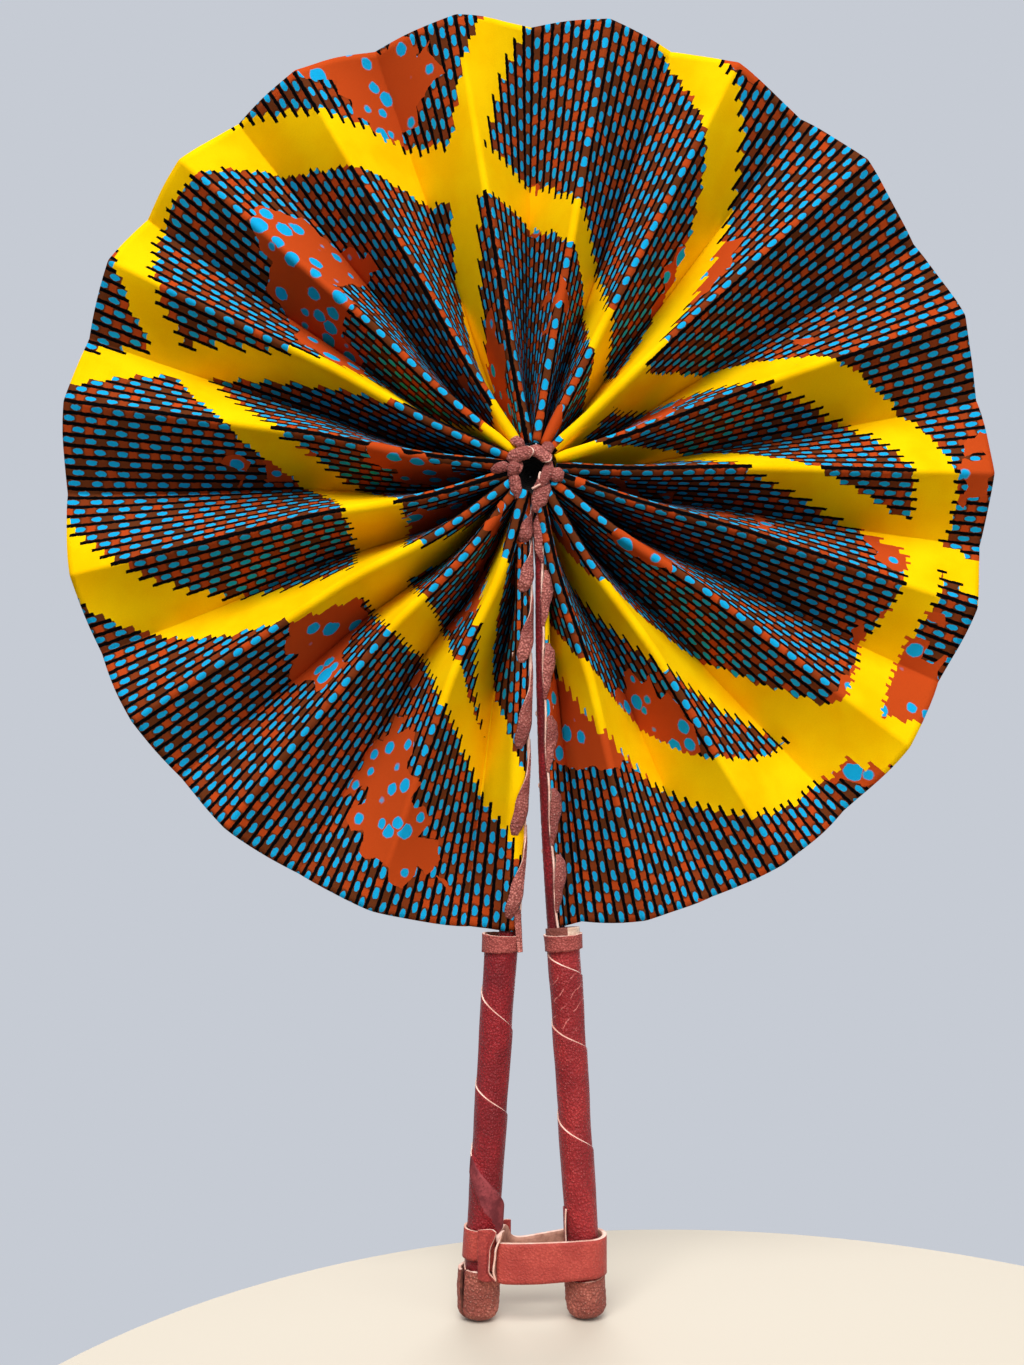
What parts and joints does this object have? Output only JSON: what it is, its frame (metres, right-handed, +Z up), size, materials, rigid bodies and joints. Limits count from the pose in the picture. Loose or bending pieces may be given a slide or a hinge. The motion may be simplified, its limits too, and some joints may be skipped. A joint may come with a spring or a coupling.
{
  "type": "folding fan",
  "caption": "Round pleated cloth hand fan that folds through a full turn about a laced eye, with two leather-wrapped stick handles joined by a sliding leather strap.",
  "frame": {"origin": "middle of the hand grip, halfway between the two handles", "axes": "+Z up towards the leaf, the leaf in XZ with its front to -Y, +X to the right seen from the front"},
  "size_m": [0.3598, 0.0409, 0.5007],
  "materials": {
    "leaf_cloth": "printed wax cotton, matt",
    "grip_leather": "dyed red goat leather, satin",
    "shank_leather": "dark red leather, satin",
    "trim_leather": "thin terracotta leather with pale cut edges",
    "lace_leather": "dusty rose-brown thong, matt",
    "stick_wood": "bare wood, hidden",
    "gather_thread": "dark twisted thread"
  },
  "bodies": {
    "left_handle": {"left_stick": "stick_wood", "left_shank_wrap": "shank_leather", "left_grip_wrap": "grip_leather", "left_cuff": "trim_leather", "left_end_cap": "trim_leather", "left_hem": "leaf_cloth", "left_end_panel": "leaf_cloth", "left_lace": "lace_leather", "hub_lace": "lace_leather", "gather_cord": "gather_thread"},
    "right_handle": {"right_stick": "stick_wood", "right_shank_wrap": "shank_leather", "right_grip_wrap": "grip_leather", "right_cuff": "trim_leather", "right_end_cap": "trim_leather", "right_hem": "leaf_cloth", "right_end_panel": "leaf_cloth", "right_lace": "lace_leather"},
    "strap": {"strap": "trim_leather", "strap_keeper": "trim_leather"},
    "pleat_01": {"pleat_01": "leaf_cloth"},
    "pleat_02": {"pleat_02": "leaf_cloth"},
    "pleat_03": {"pleat_03": "leaf_cloth"},
    "pleat_04": {"pleat_04": "leaf_cloth"},
    "pleat_05": {"pleat_05": "leaf_cloth"},
    "pleat_06": {"pleat_06": "leaf_cloth"},
    "pleat_07": {"pleat_07": "leaf_cloth"},
    "pleat_08": {"pleat_08": "leaf_cloth"},
    "pleat_09": {"pleat_09": "leaf_cloth"},
    "pleat_10": {"pleat_10": "leaf_cloth"},
    "pleat_11": {"pleat_11": "leaf_cloth"},
    "pleat_12": {"pleat_12": "leaf_cloth"},
    "pleat_13": {"pleat_13": "leaf_cloth"},
    "pleat_14": {"pleat_14": "leaf_cloth"},
    "pleat_15": {"pleat_15": "leaf_cloth"},
    "pleat_16": {"pleat_16": "leaf_cloth"},
    "pleat_17": {"pleat_17": "leaf_cloth"},
    "pleat_18": {"pleat_18": "leaf_cloth"}
  },
  "joints": [
    {"name": "fan_fold", "type": "hinge", "parent": "left_handle", "child": "right_handle", "pos_m": [0, 0, 0.24752], "axis": [0, -1, 0], "range_deg": [0, 332], "deforming": ["pleat_01", "pleat_02", "pleat_03", "pleat_04", "pleat_05", "pleat_06", "pleat_07", "pleat_08", "pleat_09", "pleat_10", "pleat_11", "pleat_12", "pleat_13", "pleat_14", "pleat_15", "pleat_16", "pleat_17", "pleat_18", "left_end_panel", "right_end_panel"]},
    {"name": "pleat_01_fold", "type": "hinge", "parent": "left_handle", "child": "pleat_01", "pos_m": [0, 0, 0.24752], "axis": [0, -1, 0], "range_deg": [0, 11.11]},
    {"name": "pleat_02_fold", "type": "hinge", "parent": "left_handle", "child": "pleat_02", "pos_m": [0, 0, 0.24752], "axis": [0, -1, 0], "range_deg": [0, 30.55]},
    {"name": "pleat_03_fold", "type": "hinge", "parent": "left_handle", "child": "pleat_03", "pos_m": [0, 0, 0.24752], "axis": [0, -1, 0], "range_deg": [0, 46.95]},
    {"name": "pleat_04_fold", "type": "hinge", "parent": "left_handle", "child": "pleat_04", "pos_m": [0, 0, 0.24752], "axis": [0, -1, 0], "range_deg": [0, 65.4]},
    {"name": "pleat_05_fold", "type": "hinge", "parent": "left_handle", "child": "pleat_05", "pos_m": [0, 0, 0.24752], "axis": [0, -1, 0], "range_deg": [0, 85.88]},
    {"name": "pleat_06_fold", "type": "hinge", "parent": "left_handle", "child": "pleat_06", "pos_m": [0, 0, 0.24752], "axis": [0, -1, 0], "range_deg": [0, 103.33]},
    {"name": "pleat_07_fold", "type": "hinge", "parent": "left_handle", "child": "pleat_07", "pos_m": [0, 0, 0.24752], "axis": [0, -1, 0], "range_deg": [0, 118.02]},
    {"name": "pleat_08_fold", "type": "hinge", "parent": "left_handle", "child": "pleat_08", "pos_m": [0, 0, 0.24752], "axis": [0, -1, 0], "range_deg": [0, 135.47]},
    {"name": "pleat_09_fold", "type": "hinge", "parent": "left_handle", "child": "pleat_09", "pos_m": [0, 0, 0.24752], "axis": [0, -1, 0], "range_deg": [0, 155.95]},
    {"name": "pleat_10_fold", "type": "hinge", "parent": "right_handle", "child": "pleat_10", "pos_m": [0, 0, 0.24752], "axis": [0, -1, 0], "range_deg": [-157.62, 0]},
    {"name": "pleat_11_fold", "type": "hinge", "parent": "right_handle", "child": "pleat_11", "pos_m": [0, 0, 0.24752], "axis": [0, -1, 0], "range_deg": [-141.21, 0]},
    {"name": "pleat_12_fold", "type": "hinge", "parent": "right_handle", "child": "pleat_12", "pos_m": [0, 0, 0.24752], "axis": [0, -1, 0], "range_deg": [-121.78, 0]},
    {"name": "pleat_13_fold", "type": "hinge", "parent": "right_handle", "child": "pleat_13", "pos_m": [0, 0, 0.24752], "axis": [0, -1, 0], "range_deg": [-99.58, 0]},
    {"name": "pleat_14_fold", "type": "hinge", "parent": "right_handle", "child": "pleat_14", "pos_m": [0, 0, 0.24752], "axis": [0, -1, 0], "range_deg": [-80.14, 0]},
    {"name": "pleat_15_fold", "type": "hinge", "parent": "right_handle", "child": "pleat_15", "pos_m": [0, 0, 0.24752], "axis": [0, -1, 0], "range_deg": [-63.73, 0]},
    {"name": "pleat_16_fold", "type": "hinge", "parent": "right_handle", "child": "pleat_16", "pos_m": [0, 0, 0.24752], "axis": [0, -1, 0], "range_deg": [-45.29, 0]},
    {"name": "pleat_17_fold", "type": "hinge", "parent": "right_handle", "child": "pleat_17", "pos_m": [0, 0, 0.24752], "axis": [0, -1, 0], "range_deg": [-24.81, 0]},
    {"name": "pleat_18_fold", "type": "hinge", "parent": "right_handle", "child": "pleat_18", "pos_m": [0, 0, 0.24752], "axis": [0, -1, 0], "range_deg": [-7.36, 0]},
    {"name": "strap_slide", "type": "slide", "parent": "left_handle", "child": "strap", "axis": [0.0619, 0, 0.9981], "range_m": [0, 0.08]}
  ],
  "couplings": [
    {"joint": "pleat_01_fold", "follows": "fan_fold", "ratio": 0.033432},
    {"joint": "pleat_02_fold", "follows": "fan_fold", "ratio": 0.091976},
    {"joint": "pleat_03_fold", "follows": "fan_fold", "ratio": 0.1414},
    {"joint": "pleat_04_fold", "follows": "fan_fold", "ratio": 0.19696},
    {"joint": "pleat_05_fold", "follows": "fan_fold", "ratio": 0.25864},
    {"joint": "pleat_06_fold", "follows": "fan_fold", "ratio": 0.31121},
    {"joint": "pleat_07_fold", "follows": "fan_fold", "ratio": 0.35546},
    {"joint": "pleat_08_fold", "follows": "fan_fold", "ratio": 0.40802},
    {"joint": "pleat_09_fold", "follows": "fan_fold", "ratio": 0.46971},
    {"joint": "pleat_10_fold", "follows": "fan_fold", "ratio": -0.47473},
    {"joint": "pleat_11_fold", "follows": "fan_fold", "ratio": -0.42531},
    {"joint": "pleat_12_fold", "follows": "fan_fold", "ratio": -0.36677},
    {"joint": "pleat_13_fold", "follows": "fan_fold", "ratio": -0.2999},
    {"joint": "pleat_14_fold", "follows": "fan_fold", "ratio": -0.24136},
    {"joint": "pleat_15_fold", "follows": "fan_fold", "ratio": -0.19193},
    {"joint": "pleat_16_fold", "follows": "fan_fold", "ratio": -0.13638},
    {"joint": "pleat_17_fold", "follows": "fan_fold", "ratio": -0.074691},
    {"joint": "pleat_18_fold", "follows": "fan_fold", "ratio": -0.022124}
  ]
}
